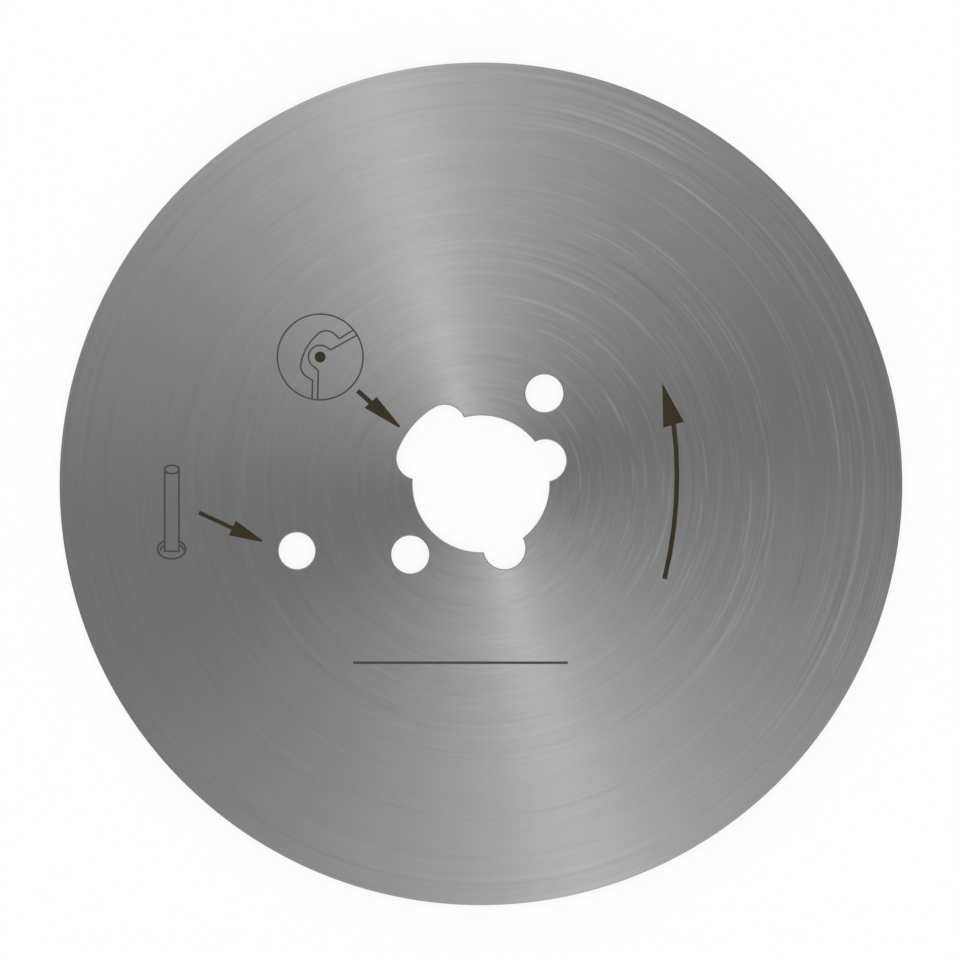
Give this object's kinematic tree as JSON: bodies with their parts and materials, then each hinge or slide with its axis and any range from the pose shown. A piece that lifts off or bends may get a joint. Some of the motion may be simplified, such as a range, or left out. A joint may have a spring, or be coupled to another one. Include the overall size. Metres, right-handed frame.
{
  "type": "kebab slicer blade",
  "caption": "Round stainless-steel slicing blade with a single-bevel ground edge, a keyed centre opening and round holes for the hub and the locking pin.",
  "frame": {"origin": "on the spin axis, in the flat underside that the blade lies on", "axes": "+Z along the spin axis, out of the flat marked face; +X to the right and +Y up when that face is read as in the picture"},
  "size_m": [0.08, 0.08, 0.001],
  "materials": {
    "brushed_steel": "circular brushing round the spin axis, satin, with laser-marked signs"
  },
  "bodies": {
    "root": {"slicer_blade": "brushed_steel"}
  },
  "joints": []
}
